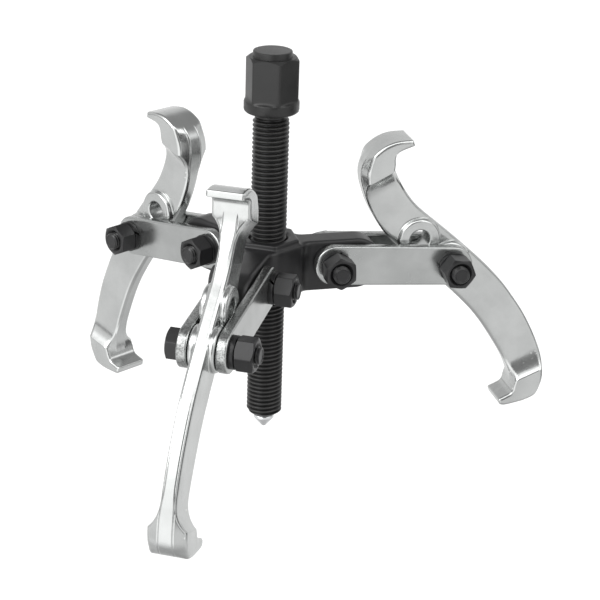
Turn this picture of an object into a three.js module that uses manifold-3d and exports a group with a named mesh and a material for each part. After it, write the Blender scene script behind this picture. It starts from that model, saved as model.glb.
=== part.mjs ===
// Three-jaw reversible gear puller: forcing screw, three-arm yoke, and on each arm a
// pair of straps, two pivot bolts and a double-ended jaw.
// Millimetres, +Z up along the forcing screw. The origin is the flat at the tip of the
// centre point. The front arm lies along -Y, the right arm at 30 degrees and the left
// arm at 150 degrees, both measured from +X.
import * as THREE from 'three';
import { mergeVertices } from 'three/addons/utils/BufferGeometryUtils.js';
import Module from 'manifold-3d';

const wasm = await Module();
wasm.setup();

// ---------------------------------------------------------------- driving dimensions
const HUB_Z = 80.8;             // height of the hub bolts above the tip
const HUB_BOLT_R = 28.4;       // hub bolt axis to screw axis
const STRAP_PITCH = 55;        // hole to hole in a strap
const STRAP_W = 18.2;
const STRAP_T = 4.5;
const GAP_HALF = 6.1;          // half the space between the two straps of a pair
const BOSS_HALF = 5.7;         // half the thickness of the yoke's arms and the jaws' bosses
const PIVOT_HOLE_R = 4.25;     // 8.5 mm holes for M8 bolts
const BOLT_R = 3.9;
const HEX_AF = 13;             // M8 heads and nuts
const HEAD_H = 5.3;
const WASHER_T = 2.0;
const WASHER_OR = 7.1;
const WASHER_IR = 4.3;
const NUT_H = 7.7;
const FACE_GAP = 0.3;          // air between faces that touch
const BOLT_END = 22.6;         // end of the thread, from the arm's middle plane

const SCREW_R = 7.95;          // M16 x 2 forcing screw
const BORE_R = 8.3;
const NECK_R = 6.6;
const COLLAR_R = 11.95;
const DRIVE_AF = 20.5;         // hexagon for a 21 mm spanner
const CAP_R = 8.45;
const DRIVE_TURN = 2;           // where the drive hexagon's corners lie, degrees from +X
const Z_THREAD_END = 6.6;      // all heights of the screw are above the tip
const Z_THREAD_TOP = HUB_Z + 67.0;
const Z_COLLAR = HUB_Z + 69.9;
const Z_HEX = HUB_Z + 75.3;
const Z_CAP = HUB_Z + 93.2;
const Z_TOP = HUB_Z + 95.8;
const POINT_R = 4.6;           // base of the centre point's cone
const POINT_STEM_R = 3.0;
const POINT_STEM_TOP = 17;

const ARM_TOP = 10.2;          // yoke heights, from the hub bolts' plane
const ARM_BOTTOM = -13.2;
const BOSS_TOP = 12.4;
const ARM_END = 51.2;            // outer end of an arm from the screw axis
const HUB_R = 15.5;
const HUB_FILLET = 7;
const BOSS_HEX_R = 14.2;       // circumradius of the raised hexagonal boss

const JAW_T = 6.8;             // thickness of a jaw's shank
const HOOK_HALF = 8.4;         // half the width of a jaw's hooks
const RING_R = 9.6;            // ring bosses round a jaw's two holes
const SPARE_HOLE = [-14.8, 11.7];   // the unused hole, in the jaw's own frame

// Arms: direction, side of the nuts, link angle below horizontal and jaw angle, degrees.
// hubHex and jawHex: how each [nut, bolt head] is turned on its bolt, as the angle of a corner.
const ARMS = [
  { name: 'right', az: 30, nut: -1, link: 4.0, jaw: 0, hubHex: [33, 12], jawHex: [53, 41] },
  { name: 'left', az: 150, nut: 1, link: 10.0, jaw: 11.4, hubHex: [31, 50], jawHex: [33, 8] },
  { name: 'front', az: 270, nut: 1, link: 6.4, jaw: 0.8, hubHex: [5, 20], jawHex: [5, 26] },
];

// ---------------------------------------------------------------- finishes
const FINISH = {
  plated: { color: 0xaeb1ae, roughness: 0.34, metalness: 0.9 },
  black: { color: 0x2b2c2d, roughness: 0.42, metalness: 0.45 },
  blackBolt: { color: 0x242526, roughness: 0.38, metalness: 0.5 },
  washer: { color: 0x303133, roughness: 0.4, metalness: 0.6 },
  bright: { color: 0xd6d7d8, roughness: 0.24, metalness: 0.95 },
};

// ---------------------------------------------------------------- solids
const rad = (d) => (d * Math.PI) / 180;

function toSolid(geometry) {
  const g = geometry.clone();
  g.deleteAttribute('normal');
  g.deleteAttribute('uv');
  const m = mergeVertices(g, 1e-4);
  const triVerts = m.index
    ? new Uint32Array(m.index.array)
    : new Uint32Array([...Array(m.attributes.position.count).keys()]);
  return new wasm.Manifold(new wasm.Mesh({
    numProp: 3,
    vertProperties: new Float32Array(m.attributes.position.array),
    triVerts,
  }));
}

function toGeometry(solid) {
  const mesh = solid.getMesh();
  const g = new THREE.BufferGeometry();
  const n = mesh.vertProperties.length / mesh.numProp;
  const pos = new Float32Array(n * 3);
  for (let i = 0; i < n; i++) for (let k = 0; k < 3; k++) pos[3 * i + k] = mesh.vertProperties[i * mesh.numProp + k];
  g.setAttribute('position', new THREE.BufferAttribute(pos, 3));
  g.setIndex(new THREE.BufferAttribute(new Uint32Array(mesh.triVerts), 1));
  return g;
}

const placed = (geometry, matrix) => geometry.clone().applyMatrix4(matrix);

// A flat outline in x, y pushed along z from z0 to z1.
function prism(points, z0, z1, holes = []) {
  const s = new THREE.Shape(points.map(([x, y]) => new THREE.Vector2(x, y)));
  for (const [x, y, r, n = 24] of holes) {
    const h = new THREE.Path();
    for (let i = 0; i < n; i++) {
      const a = (2 * Math.PI * i) / n;
      if (i) h.lineTo(x + r * Math.cos(a), y + r * Math.sin(a));
      else h.moveTo(x + r * Math.cos(a), y + r * Math.sin(a));
    }
    h.closePath();
    s.holes.push(h);
  }
  const g = new THREE.ExtrudeGeometry(s, { depth: z1 - z0, bevelEnabled: false, curveSegments: 1 });
  g.translate(0, 0, z0);
  return g;
}

function rod(r, z0, z1, n = 24, x = 0, y = 0) {
  const g = new THREE.CylinderGeometry(r, r, z1 - z0, n);
  g.rotateX(Math.PI / 2);
  g.translate(x, y, (z0 + z1) / 2);
  return g;
}

// A turned piece: profile of [radius, z] from the axis back to the axis, or a closed ring.
function turned(profile, n = 32) {
  const g = new THREE.LatheGeometry(profile.map(([r, z]) => new THREE.Vector2(r, z)), n);
  g.rotateX(Math.PI / 2);
  return g;
}

const hexagon = (af, turn = 0) => [...Array(6).keys()].map((i) => {
  const a = rad(60 * i + turn);
  return [(af / Math.sqrt(3)) * Math.cos(a), (af / Math.sqrt(3)) * Math.sin(a)];
});

// ---------------------------------------------------------------- frames
// Arm frame: x outward from the screw, y up, z across the arm towards its nuts' side
// or away from it; the origin is where the screw axis meets the hub bolts' plane.
function armFrame(arm) {
  const out = new THREE.Vector3(Math.cos(rad(arm.az)), Math.sin(rad(arm.az)), 0);
  const up = new THREE.Vector3(0, 0, 1);
  const across = new THREE.Vector3().crossVectors(out, up);
  const m = new THREE.Matrix4().makeBasis(out, up, across);
  m.setPosition(0, 0, HUB_Z);
  return m;
}
// across points to the -90 degree side, so nuts on that side have nut = -1.
const nutSign = (arm) => (arm.nut < 0 ? 1 : -1);
const turn2 = (x, y, deg) => new THREE.Matrix4().makeTranslation(x, y, 0)
  .multiply(new THREE.Matrix4().makeRotationZ(rad(deg)));

// ---------------------------------------------------------------- yoke
function yokeSolid() {
  const hubPoints = [];
  for (const arm of [...ARMS].sort((a, b) => a.az - b.az)) {
    const c = BOSS_HALF + HUB_FILLET;
    const d = Math.sqrt((HUB_R + HUB_FILLET) ** 2 - c ** 2);
    const far = d + 3;
    const side = [];
    side.push([far, BOSS_HALF]);
    const a0 = -90;
    const a1 = (Math.atan2(-c, -d) * 180) / Math.PI;
    for (let i = 0; i <= 6; i++) {
      const a = rad(a0 + ((a1 - a0) * i) / 6);
      side.push([d + HUB_FILLET * Math.cos(a), c + HUB_FILLET * Math.sin(a)]);
    }
    const t0 = (Math.atan2(c, d) * 180) / Math.PI;
    const arc = [];
    for (let i = 1; i < 8; i++) {
      const a = t0 + ((120 - 2 * t0) * i) / 8;
      arc.push([HUB_R * Math.cos(rad(a)), HUB_R * Math.sin(rad(a))]);
    }
    const ca = Math.cos(rad(arm.az));
    const sa = Math.sin(rad(arm.az));
    const all = [...side.map(([x, y]) => [x, -y]).reverse(), ...side, ...arc];
    for (const [x, y] of all) hubPoints.push([x * ca - y * sa, x * sa + y * ca]);
  }
  let yoke = toSolid(prism(hubPoints, HUB_Z + ARM_BOTTOM, HUB_Z + ARM_TOP));
  // arms: straight top and bottom, rounded outer end
  const armSide = [[6, ARM_BOTTOM], [6, ARM_TOP]];
  const mid = (ARM_TOP + ARM_BOTTOM) / 2;
  const half = (ARM_TOP - ARM_BOTTOM) / 2;
  for (let i = 0; i <= 16; i++) {
    const a = rad(90 - (180 * i) / 16);
    armSide.push([ARM_END - half + half * Math.cos(a), mid + half * Math.sin(a)]);
  }
  for (const arm of ARMS) {
    yoke = yoke.add(toSolid(placed(prism(armSide.slice().reverse(), -BOSS_HALF, BOSS_HALF), armFrame(arm))));
  }
  yoke = yoke.add(toSolid(prism(hexagon(BOSS_HEX_R * Math.sqrt(3), 0), HUB_Z, HUB_Z + BOSS_TOP)));
  yoke = yoke.subtract(toSolid(rod(BORE_R, HUB_Z - 20, HUB_Z + 20, 48)));
  for (const arm of ARMS) {
    yoke = yoke.subtract(toSolid(placed(rod(PIVOT_HOLE_R, -12, 12, 24, HUB_BOLT_R, 0), armFrame(arm))));
  }
  return yoke;
}

// ---------------------------------------------------------------- forcing screw
function spindleSolid() {
  let s = toSolid(turned([
    [0, Z_THREAD_END], [5.3, Z_THREAD_END], [SCREW_R - 0.1, Z_THREAD_END + 2.4], [SCREW_R, Z_THREAD_END + 3.4],
    [SCREW_R, Z_THREAD_TOP - 3], [NECK_R, Z_THREAD_TOP], [NECK_R, Z_COLLAR - 1.2], [COLLAR_R - 1, Z_COLLAR - 0.4],
    [COLLAR_R, Z_COLLAR + 0.6], [COLLAR_R, Z_HEX - 0.4], [COLLAR_R - 0.6, Z_HEX + 0.2], [CAP_R, Z_HEX + 0.2],
    [CAP_R, Z_TOP - 0.6], [CAP_R - 0.6, Z_TOP], [0, Z_TOP],
  ], 40));
  const chamfer = turned([[0, Z_HEX - 1], [13, Z_HEX - 1], [13, Z_CAP - 1.7], [10.1, Z_CAP], [0, Z_CAP]], 48);
  const hex = toSolid(prism(hexagon(DRIVE_AF, DRIVE_TURN), Z_HEX - 0.4, Z_CAP)).intersect(toSolid(chamfer));
  s = s.add(hex);
  return s.subtract(toSolid(turned([
    [0, Z_THREAD_END - 2], [POINT_STEM_R + 0.3, Z_THREAD_END - 2], [POINT_STEM_R + 0.3, POINT_STEM_TOP + 0.6],
    [0, POINT_STEM_TOP + 2.2],
  ], 24)));
}

function centrePointSolid() {
  return toSolid(turned([
    [0, 0], [0.9, 0], [POINT_R, 4.6], [POINT_R, Z_THREAD_END - FACE_GAP], [POINT_STEM_R, Z_THREAD_END - FACE_GAP],
    [POINT_STEM_R, POINT_STEM_TOP - 0.5], [POINT_STEM_R - 0.5, POINT_STEM_TOP], [0, POINT_STEM_TOP],
  ], 28));
}

// ---------------------------------------------------------------- strap
function strapGeometry() {
  const r = STRAP_W / 2;
  const pts = [];
  for (let i = 0; i <= 12; i++) { const a = rad(-90 + (180 * i) / 12); pts.push([STRAP_PITCH + r * Math.cos(a), r * Math.sin(a)]); }
  for (let i = 0; i <= 12; i++) { const a = rad(90 + (180 * i) / 12); pts.push([r * Math.cos(a), r * Math.sin(a)]); }
  return prism(pts, 0, STRAP_T, [[0, 0, PIVOT_HOLE_R, 20], [STRAP_PITCH, 0, PIVOT_HOLE_R, 20]]);
}

// ---------------------------------------------------------------- jaw
// Jaw frame: the origin is the pivot bolt's axis, x outward, y up when the jaw angle is 0.
const JAW_INNER = [
  [-21.2, 59.3], [-26.3, 59.2], [-30.0, 58.7], [-32.8, 57.7], [-35.5, 56.1], [-38.3, 53.8], [-40.6, 51.2],
  [-42.3, 48.3], [-43.2, 45.2], [-43.0, 41.4], [-42.0, 37.3], [-40.9, 34.1], [-39.4, 29.9], [-37.5, 26.0],
  [-35.2, 22.0], [-32.7, 18.0], [-29.8, 14.0], [-26.6, 10.5], [-20.3, 4.8], [-13.3, -0.7], [-6.4, -6.8],
  [1.9, -14.3], [7.3, -19.6], [12.6, -25.1], [17.9, -31.6], [23.1, -39.1], [28.5, -47.6], [32.1, -53.9],
  [34.4, -59.3], [35.4, -63.3], [35.2, -66.2], [34.0, -67.8], [32.0, -68.8], [28.1, -70.5],
];
const JAW_OUTER = [
  [29.0, -73.1], [30.2, -73.7], [36.7, -72.9], [42.2, -71.6], [46.2, -69.8], [48.9, -67.6], [50.5, -64.5],
  [51.1, -61.0], [50.8, -56.9], [49.5, -51.1], [47.6, -45.7], [45.3, -40.4], [41.9, -33.8], [38.3, -27.7],
  [33.7, -21.1], [28.2, -13.8], [22.8, -7.7], [17.5, -2.4], [10.3, 4.2], [2.0, 11.5], [-5.6, 17.9],
  [-12.8, 23.9], [-16.4, 27.3], [-19.2, 30.7], [-21.9, 34.5], [-24.1, 37.9], [-25.9, 41.3], [-27.5, 44.7],
  [-28.5, 48.0], [-28.7, 51.5], [-28.1, 53.3], [-25.9, 54.7], [-20.2, 56.7],
];
// Width of the jaw along a line square to each hook's ledge: narrow shank, concave flare,
// then the full width of the hook. [distance, half width]
const FLARE = [[-14, 3.4], [-9, 3.63], [-6.2, 4.27], [-4.2, 5.12], [-2.2, 6.4], [-0.8, 7.6], [0, 8.4]];

function jawSolid() {
  const profile = [...JAW_INNER, ...JAW_OUTER].reverse();
  const blank = toSolid(prism(profile, -HOOK_HALF, HOOK_HALF));
  // Front outline across the width: n runs from the ledge towards the hook.
  const width = [];
  for (const [n, w] of FLARE) width.push([n, w]);
  width.push([40, HOOK_HALF + 1]);
  const flareOutline = [[-14, -3.4], ...[...width].slice(1).map(([n, w]) => [n, -w]), ...[...width].slice(1).reverse().map(([n, w]) => [n, w]), [-14, 3.4]];
  const head = (x, y, deg) => {
    // prism of (n, width) pushed along the ledge direction
    const along = new THREE.Vector3(Math.cos(rad(deg)), Math.sin(rad(deg)), 0);
    const n = new THREE.Vector3(Math.cos(rad(deg + 90)), Math.sin(rad(deg + 90)), 0);
    const across = new THREE.Vector3().crossVectors(along, n);
    const m = new THREE.Matrix4().makeBasis(n, across, along);
    m.setPosition(x, y, 0);
    return placed(prism(flareOutline, -34, 34), m);
  };
  const upper = toSolid(head(-34.8, 42.6, 27.2));
  const lower = toSolid(head(42.9, -58.6, 202.2));
  const slab = toSolid(new THREE.BoxGeometry(200, 220, JAW_T));
  let jaw = blank.intersect(slab.add(upper).add(lower));
  jaw = jaw.add(toSolid(rod(RING_R, -BOSS_HALF, BOSS_HALF, 32)));
  jaw = jaw.add(toSolid(rod(RING_R, -BOSS_HALF, BOSS_HALF, 32, SPARE_HOLE[0], SPARE_HOLE[1])));
  jaw = jaw.subtract(toSolid(rod(PIVOT_HOLE_R, -9, 9, 24)));
  jaw = jaw.subtract(toSolid(rod(PIVOT_HOLE_R + 0.35, -9, 9, 24, SPARE_HOLE[0], SPARE_HOLE[1])));
  return jaw;
}

// ---------------------------------------------------------------- fasteners, along +z
function boltSolid() {
  const under = GAP_HALF + STRAP_T + FACE_GAP;
  const head = toSolid(prism(hexagon(HEX_AF, 30), -under - HEAD_H, -under));
  const shank = toSolid(turned([
    [0, -under - 1], [BOLT_R, -under - 1], [BOLT_R, BOLT_END - 0.9], [BOLT_R - 0.9, BOLT_END], [0, BOLT_END],
  ], 20));
  return head.add(shank);
}
const washerZ = GAP_HALF + STRAP_T + FACE_GAP;
const nutZ = washerZ + WASHER_T + FACE_GAP;
const nutGeometry = () => prism(hexagon(HEX_AF, 30), nutZ, nutZ + NUT_H, [[0, 0, BOLT_R + 0.3, 20]]);
const washerGeometry = () => {
  const pts = [];
  for (let i = 0; i < 28; i++) { const a = (2 * Math.PI * i) / 28; pts.push([WASHER_OR * Math.cos(a), WASHER_OR * Math.sin(a)]); }
  return prism(pts, washerZ, washerZ + WASHER_T, [[0, 0, WASHER_IR, 20]]);
};

// ---------------------------------------------------------------- assembly
const puller = new THREE.Group();
puller.name = 'gear_puller';
function add(parent, name, geometry, finish, matrix) {
  const mesh = new THREE.Mesh(geometry, new THREE.MeshStandardMaterial({ ...FINISH[finish], name: finish }));
  mesh.name = name;
  if (matrix) mesh.applyMatrix4(matrix);
  parent.add(mesh);
  return mesh;
}

add(puller, 'yoke', toGeometry(yokeSolid()), 'black');
add(puller, 'forcing_screw', toGeometry(spindleSolid()), 'black');
add(puller, 'centre_point', toGeometry(centrePointSolid()), 'bright');

const jaw = toGeometry(jawSolid());
const strap = strapGeometry();
const bolt = toGeometry(boltSolid());
const nut = nutGeometry();
const washer = washerGeometry();
const flip = new THREE.Matrix4().makeRotationX(Math.PI);

for (const arm of ARMS) {
  const g = new THREE.Group();
  g.applyMatrix4(armFrame(arm));
  puller.add(g);
  const link = turn2(HUB_BOLT_R, 0, -arm.link);
  const jx = HUB_BOLT_R + STRAP_PITCH * Math.cos(rad(arm.link));
  const jy = -STRAP_PITCH * Math.sin(rad(arm.link));
  const side = nutSign(arm);
  // fasteners point along +z of the arm frame, or along -z when the nuts are on that side
  const facing = side > 0 ? new THREE.Matrix4() : flip;
  add(g, `${arm.name}_strap_nut_side`, strap, 'plated', link.clone().multiply(new THREE.Matrix4().makeTranslation(0, 0, side > 0 ? GAP_HALF : -GAP_HALF - STRAP_T)));
  add(g, `${arm.name}_strap_head_side`, strap, 'plated', link.clone().multiply(new THREE.Matrix4().makeTranslation(0, 0, side > 0 ? -GAP_HALF - STRAP_T : GAP_HALF)));
  const at = (x, y, corner) => new THREE.Matrix4().makeTranslation(x, y, 0).multiply(new THREE.Matrix4().makeRotationZ(rad(corner - 30))).multiply(facing);
  for (const [key, x, y, hex] of [['hub', HUB_BOLT_R, 0, arm.hubHex], ['jaw', jx, jy, arm.jawHex]]) {
    add(g, `${arm.name}_${key}_bolt`, bolt, 'blackBolt', at(x, y, hex[1]));
    add(g, `${arm.name}_${key}_washer`, washer, 'washer', at(x, y, hex[0]));
    add(g, `${arm.name}_${key}_nut`, nut, 'blackBolt', at(x, y, hex[0]));
  }
  add(g, `${arm.name}_jaw`, jaw, 'plated', turn2(jx, jy, -arm.jaw));
}

export default puller;
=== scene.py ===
import math

import bmesh
import bpy
import numpy as np
from mathutils import Matrix, Vector


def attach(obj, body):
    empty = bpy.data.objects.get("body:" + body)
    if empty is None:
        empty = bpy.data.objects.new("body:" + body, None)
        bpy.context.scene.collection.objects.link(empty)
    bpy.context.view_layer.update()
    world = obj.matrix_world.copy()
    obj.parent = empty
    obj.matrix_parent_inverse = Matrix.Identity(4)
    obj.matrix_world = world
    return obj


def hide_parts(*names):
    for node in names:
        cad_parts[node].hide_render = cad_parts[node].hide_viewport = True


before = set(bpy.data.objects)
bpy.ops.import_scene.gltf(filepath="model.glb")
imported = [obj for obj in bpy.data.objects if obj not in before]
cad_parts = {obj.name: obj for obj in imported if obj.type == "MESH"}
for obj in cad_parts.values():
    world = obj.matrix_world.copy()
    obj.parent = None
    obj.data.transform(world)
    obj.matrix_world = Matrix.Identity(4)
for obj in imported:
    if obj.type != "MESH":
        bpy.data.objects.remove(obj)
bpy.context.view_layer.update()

MM = 0.001
rad = math.radians

# ------------------------------------------------------------------ dimensions, mm
HUB_Z = 80.8
HUB_BOLT_R = 28.4
STRAP_PITCH = 55.0
STRAP_W = 18.2
STRAP_T = 4.5
GAP_HALF = 6.1
BOSS_HALF = 5.7
PIVOT_HOLE_R = 4.25
BOLT_R = 3.9
HEX_AF = 13.0
UNDER_HEAD = 10.63
HEAD_TOP = 16.2
WASHER_LO, WASHER_HI = 10.63, 12.78
WASHER_OR, WASHER_IR = 7.0, 4.3
NUT_LO, NUT_HI = 12.8, 20.9
BOLT_END = 22.6
SCREW_R = 7.95
PITCH = 2.0
BORE_R = 8.3
NECK_R = 6.6
COLLAR_R = 11.95
DRIVE_AF = 20.5
CAP_R = 8.45
DRIVE_TURN = 2
Z_THREAD_END = 6.6
Z_THREAD_TOP = HUB_Z + 67.0
Z_COLLAR = HUB_Z + 69.9
Z_HEX = HUB_Z + 75.3
Z_CAP = HUB_Z + 93.2
Z_TOP = HUB_Z + 95.8
POINT_R = 4.6
POINT_STEM_R = 3.0
POINT_STEM_TOP = 17.0
ARM_TOP, ARM_BOTTOM, BOSS_TOP = 10.2, -13.2, 12.4
ARM_END = 51.2
HUB_R = 15.5
BOSS_HEX_R = 14.2
JAW_HALF = 3.4
HOOK_HALF = 8.4
RING_R = 9.6
SPARE_HOLE = (-14.8, 11.7)

ARMS = [
    dict(name="right", az=30, side=1, link=4.0, jaw=0.0, hub_hex=(33, 12), jaw_hex=(53, 41)),
    dict(name="left", az=150, side=-1, link=10.0, jaw=11.4, hub_hex=(31, 50), jaw_hex=(33, 8)),
    dict(name="front", az=270, side=-1, link=6.4, jaw=0.8, hub_hex=(5, 20), jaw_hex=(5, 26)),
]

JAW_INNER = [
    (-21.2, 59.3), (-26.3, 59.2), (-30.0, 58.7), (-32.8, 57.7), (-35.5, 56.1), (-38.3, 53.8), (-40.6, 51.2),
    (-42.3, 48.3), (-43.2, 45.2), (-43.0, 41.4), (-42.0, 37.3), (-40.9, 34.1), (-39.4, 29.9), (-37.5, 26.0),
    (-35.2, 22.0), (-32.7, 18.0), (-29.8, 14.0), (-26.6, 10.5), (-20.3, 4.8), (-13.3, -0.7), (-6.4, -6.8),
    (1.9, -14.3), (7.3, -19.6), (12.6, -25.1), (17.9, -31.6), (23.1, -39.1), (28.5, -47.6), (32.1, -53.9),
    (34.4, -59.3), (35.4, -63.3), (35.2, -66.2), (34.0, -67.8), (32.0, -68.8), (28.1, -70.5),
]
JAW_OUTER = [
    (29.0, -73.1), (30.2, -73.7), (36.7, -72.9), (42.2, -71.6), (46.2, -69.8), (48.9, -67.6), (50.5, -64.5),
    (51.1, -61.0), (50.8, -56.9), (49.5, -51.1), (47.6, -45.7), (45.3, -40.4), (41.9, -33.8), (38.3, -27.7),
    (33.7, -21.1), (28.2, -13.8), (22.8, -7.7), (17.5, -2.4), (10.3, 4.2), (2.0, 11.5), (-5.6, 17.9),
    (-12.8, 23.9), (-16.4, 27.3), (-19.2, 30.7), (-21.9, 34.5), (-24.1, 37.9), (-25.9, 41.3), (-27.5, 44.7),
    (-28.5, 48.0), (-28.7, 51.5), (-28.1, 53.3), (-25.9, 54.7), (-20.2, 56.7),
]


# ------------------------------------------------------------------ mesh helpers
def mesh_object(name, V, F, sharp=None):
    """A smooth-shaded object from vertices in mm and quads."""
    me = bpy.data.meshes.new(name)
    V = np.asarray(V, float) * MM
    F = np.asarray(F, np.int32)
    me.vertices.add(len(V))
    me.vertices.foreach_set("co", V.astype(np.float32).ravel())
    me.loops.add(F.size)
    me.loops.foreach_set("vertex_index", F.ravel())
    me.polygons.add(len(F))
    me.polygons.foreach_set("loop_start", np.arange(0, F.size, F.shape[1], dtype=np.int32))
    me.update(calc_edges=True)
    me.validate()
    me.shade_smooth()
    if sharp:
        me.set_sharp_from_angle(angle=rad(sharp))
    return me


def tidy(bm, name, sharp=32):
    bmesh.ops.remove_doubles(bm, verts=bm.verts, dist=2e-6)
    bmesh.ops.recalc_face_normals(bm, faces=bm.faces)
    me = bpy.data.meshes.new(name)
    bm.to_mesh(me)
    bm.free()
    me.shade_smooth()
    me.set_sharp_from_angle(angle=rad(sharp))
    return me


def loops_mesh(name, loops, closed=False, cap_start=True, cap_end=True, sharp=32):
    """Loops of the same number of points (mm), joined in order. closed joins the last to the first."""
    bm = bmesh.new()
    rows = [[bm.verts.new(Vector(p) * MM) for p in loop] for loop in loops]
    n = len(rows[0])
    pairs = list(zip(rows, rows[1:]))
    if closed:
        pairs.append((rows[-1], rows[0]))
    for a, b in pairs:
        for i in range(n):
            j = (i + 1) % n
            bm.faces.new((a[i], a[j], b[j], b[i]))
    if not closed:
        for row, want in ((rows[0], cap_start), (rows[-1], cap_end)):
            if not want:
                continue
            mid = bm.verts.new(sum((v.co for v in row), Vector()) / n)
            for i in range(n):
                bm.faces.new((row[i], row[(i + 1) % n], mid))
    return tidy(bm, name, sharp)


def place(name, me, matrix, body, node):
    me = me.copy()
    me.name = name
    me.transform(matrix)
    o = bpy.data.objects.new(name, me)
    bpy.context.scene.collection.objects.link(o)
    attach(o, body)
    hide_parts(*([node] if isinstance(node, str) else node))
    return o


def arm_frame(arm):
    a = rad(arm["az"])
    out, up = Vector((math.cos(a), math.sin(a), 0)), Vector((0, 0, 1))
    across = out.cross(up)
    m = Matrix.Identity(4)
    for i in range(3):
        m[i][0], m[i][1], m[i][2] = out[i], up[i], across[i]
    m[2][3] = HUB_Z * MM
    return m


def shift(x, y, z=0.0):
    return Matrix.Translation(Vector((x, y, z)) * MM)


def turn(deg, axis="Z"):
    return Matrix.Rotation(rad(deg), 4, axis)


# ------------------------------------------------------------------ distance fields
def resample(P, ds):
    P = np.asarray(P, float)
    s = np.concatenate([[0], np.cumsum(np.hypot(*np.diff(P, axis=0).T))])
    n = max(2, int(round(s[-1] / ds)) + 1)
    t = np.linspace(0, s[-1], n)
    return np.stack([np.interp(t, s, P[:, 0]), np.interp(t, s, P[:, 1])], 1), t


def spline(P, per=8):
    """Centripetal Catmull-Rom through the points."""
    P = np.asarray(P, float)
    Q = np.vstack([2 * P[0] - P[1], P, 2 * P[-1] - P[-2]])
    out = []
    for i in range(1, len(Q) - 2):
        p0, p1, p2, p3 = Q[i - 1], Q[i], Q[i + 1], Q[i + 2]
        t0 = 0.0
        t1 = t0 + np.linalg.norm(p1 - p0) ** 0.5
        t2 = t1 + np.linalg.norm(p2 - p1) ** 0.5
        t3 = t2 + np.linalg.norm(p3 - p2) ** 0.5
        for k in range(per):
            t = t1 + (t2 - t1) * k / per
            a1 = (t1 - t) / (t1 - t0) * p0 + (t - t0) / (t1 - t0) * p1
            a2 = (t2 - t) / (t2 - t1) * p1 + (t - t1) / (t2 - t1) * p2
            a3 = (t3 - t) / (t3 - t2) * p2 + (t - t2) / (t3 - t2) * p3
            b1 = (t2 - t) / (t2 - t0) * a1 + (t - t0) / (t2 - t0) * a2
            b2 = (t3 - t) / (t3 - t1) * a2 + (t - t1) / (t3 - t1) * a3
            out.append((t2 - t) / (t2 - t1) * b1 + (t - t1) / (t2 - t1) * b2)
    out.append(P[-1])
    return np.array(out)


def gauss_open(P, sigma, ds):
    """Gaussian smoothing of an open line whose ends stay where they are."""
    k = int(4 * sigma / ds) + 1
    k = min(k, len(P) - 1)
    ext = np.vstack([2 * P[0] - P[k:0:-1], P, 2 * P[-1] - P[-2 : -k - 2 : -1]])
    w = np.exp(-0.5 * (np.arange(-k, k + 1) * ds / sigma) ** 2)
    w /= w.sum()
    return np.stack([np.convolve(ext[:, i], w, mode="valid") for i in (0, 1)], 1)


def sm(a, b, x):
    t = np.clip((x - a) / (b - a), 0, 1)
    return t * t * (3 - 2 * t)


def soft_profile(P, ds, tight, end):
    P, t = resample(spline(P), ds)
    fine, broad = gauss_open(P, tight, ds), gauss_open(P, 2.3, ds)
    w = (sm(end * 0.6, end * 1.3, t) * sm(end * 0.6, end * 1.3, t[-1] - t))[:, None]
    return fine * (1 - w) + broad * w


def sdf_polygon(poly, X, Y):
    """Signed distance to a closed polygon, negative inside."""
    best = np.full(X.shape, 1e9)
    inside = np.zeros(X.shape, bool)
    A, B = poly, np.roll(poly, -1, 0)
    for (ax, ay), (bx, by) in zip(A, B):
        dx, dy = bx - ax, by - ay
        ll = dx * dx + dy * dy
        if ll < 1e-12:
            continue
        px, py = X - ax, Y - ay
        t = np.clip((px * dx + py * dy) / ll, 0, 1)
        np.minimum(best, (px - t * dx) ** 2 + (py - t * dy) ** 2, out=best)
        if (ay > 0) != (by > 0) or True:
            cross = (ay > Y) != (by > Y)
            if cross.any():
                xi = ax + (Y - ay) / (dy if abs(dy) > 1e-12 else 1e-12) * dx
                inside ^= cross & (X < xi)
    d = np.sqrt(best)
    return np.where(inside, -d, d)


class Table:
    """A 2D table read by bilinear interpolation."""

    def __init__(self, lo, hi, step, f):
        self.lo, self.step = lo, step
        nx, ny = [int(math.ceil((hi[i] - lo[i]) / step)) + 1 for i in (0, 1)]
        X, Y = np.meshgrid(lo[0] + step * np.arange(nx), lo[1] + step * np.arange(ny), indexing="ij")
        self.A = f(X, Y)
        self.n = (nx, ny)

    def __call__(self, x, y):
        fx = np.clip((x - self.lo[0]) / self.step, 0, self.n[0] - 1.001)
        fy = np.clip((y - self.lo[1]) / self.step, 0, self.n[1] - 1.001)
        i, j = fx.astype(int), fy.astype(int)
        u, v = fx - i, fy - j
        A = self.A
        return (A[i, j] * (1 - u) + A[i + 1, j] * u) * (1 - v) + (A[i, j + 1] * (1 - u) + A[i + 1, j + 1] * u) * v


def smax(a, b, k):
    h = np.maximum(k - np.abs(a - b), 0) / k
    return np.maximum(a, b) + h * h * k * 0.25


def smin(a, b, k):
    return -smax(-a, -b, k)


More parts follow.
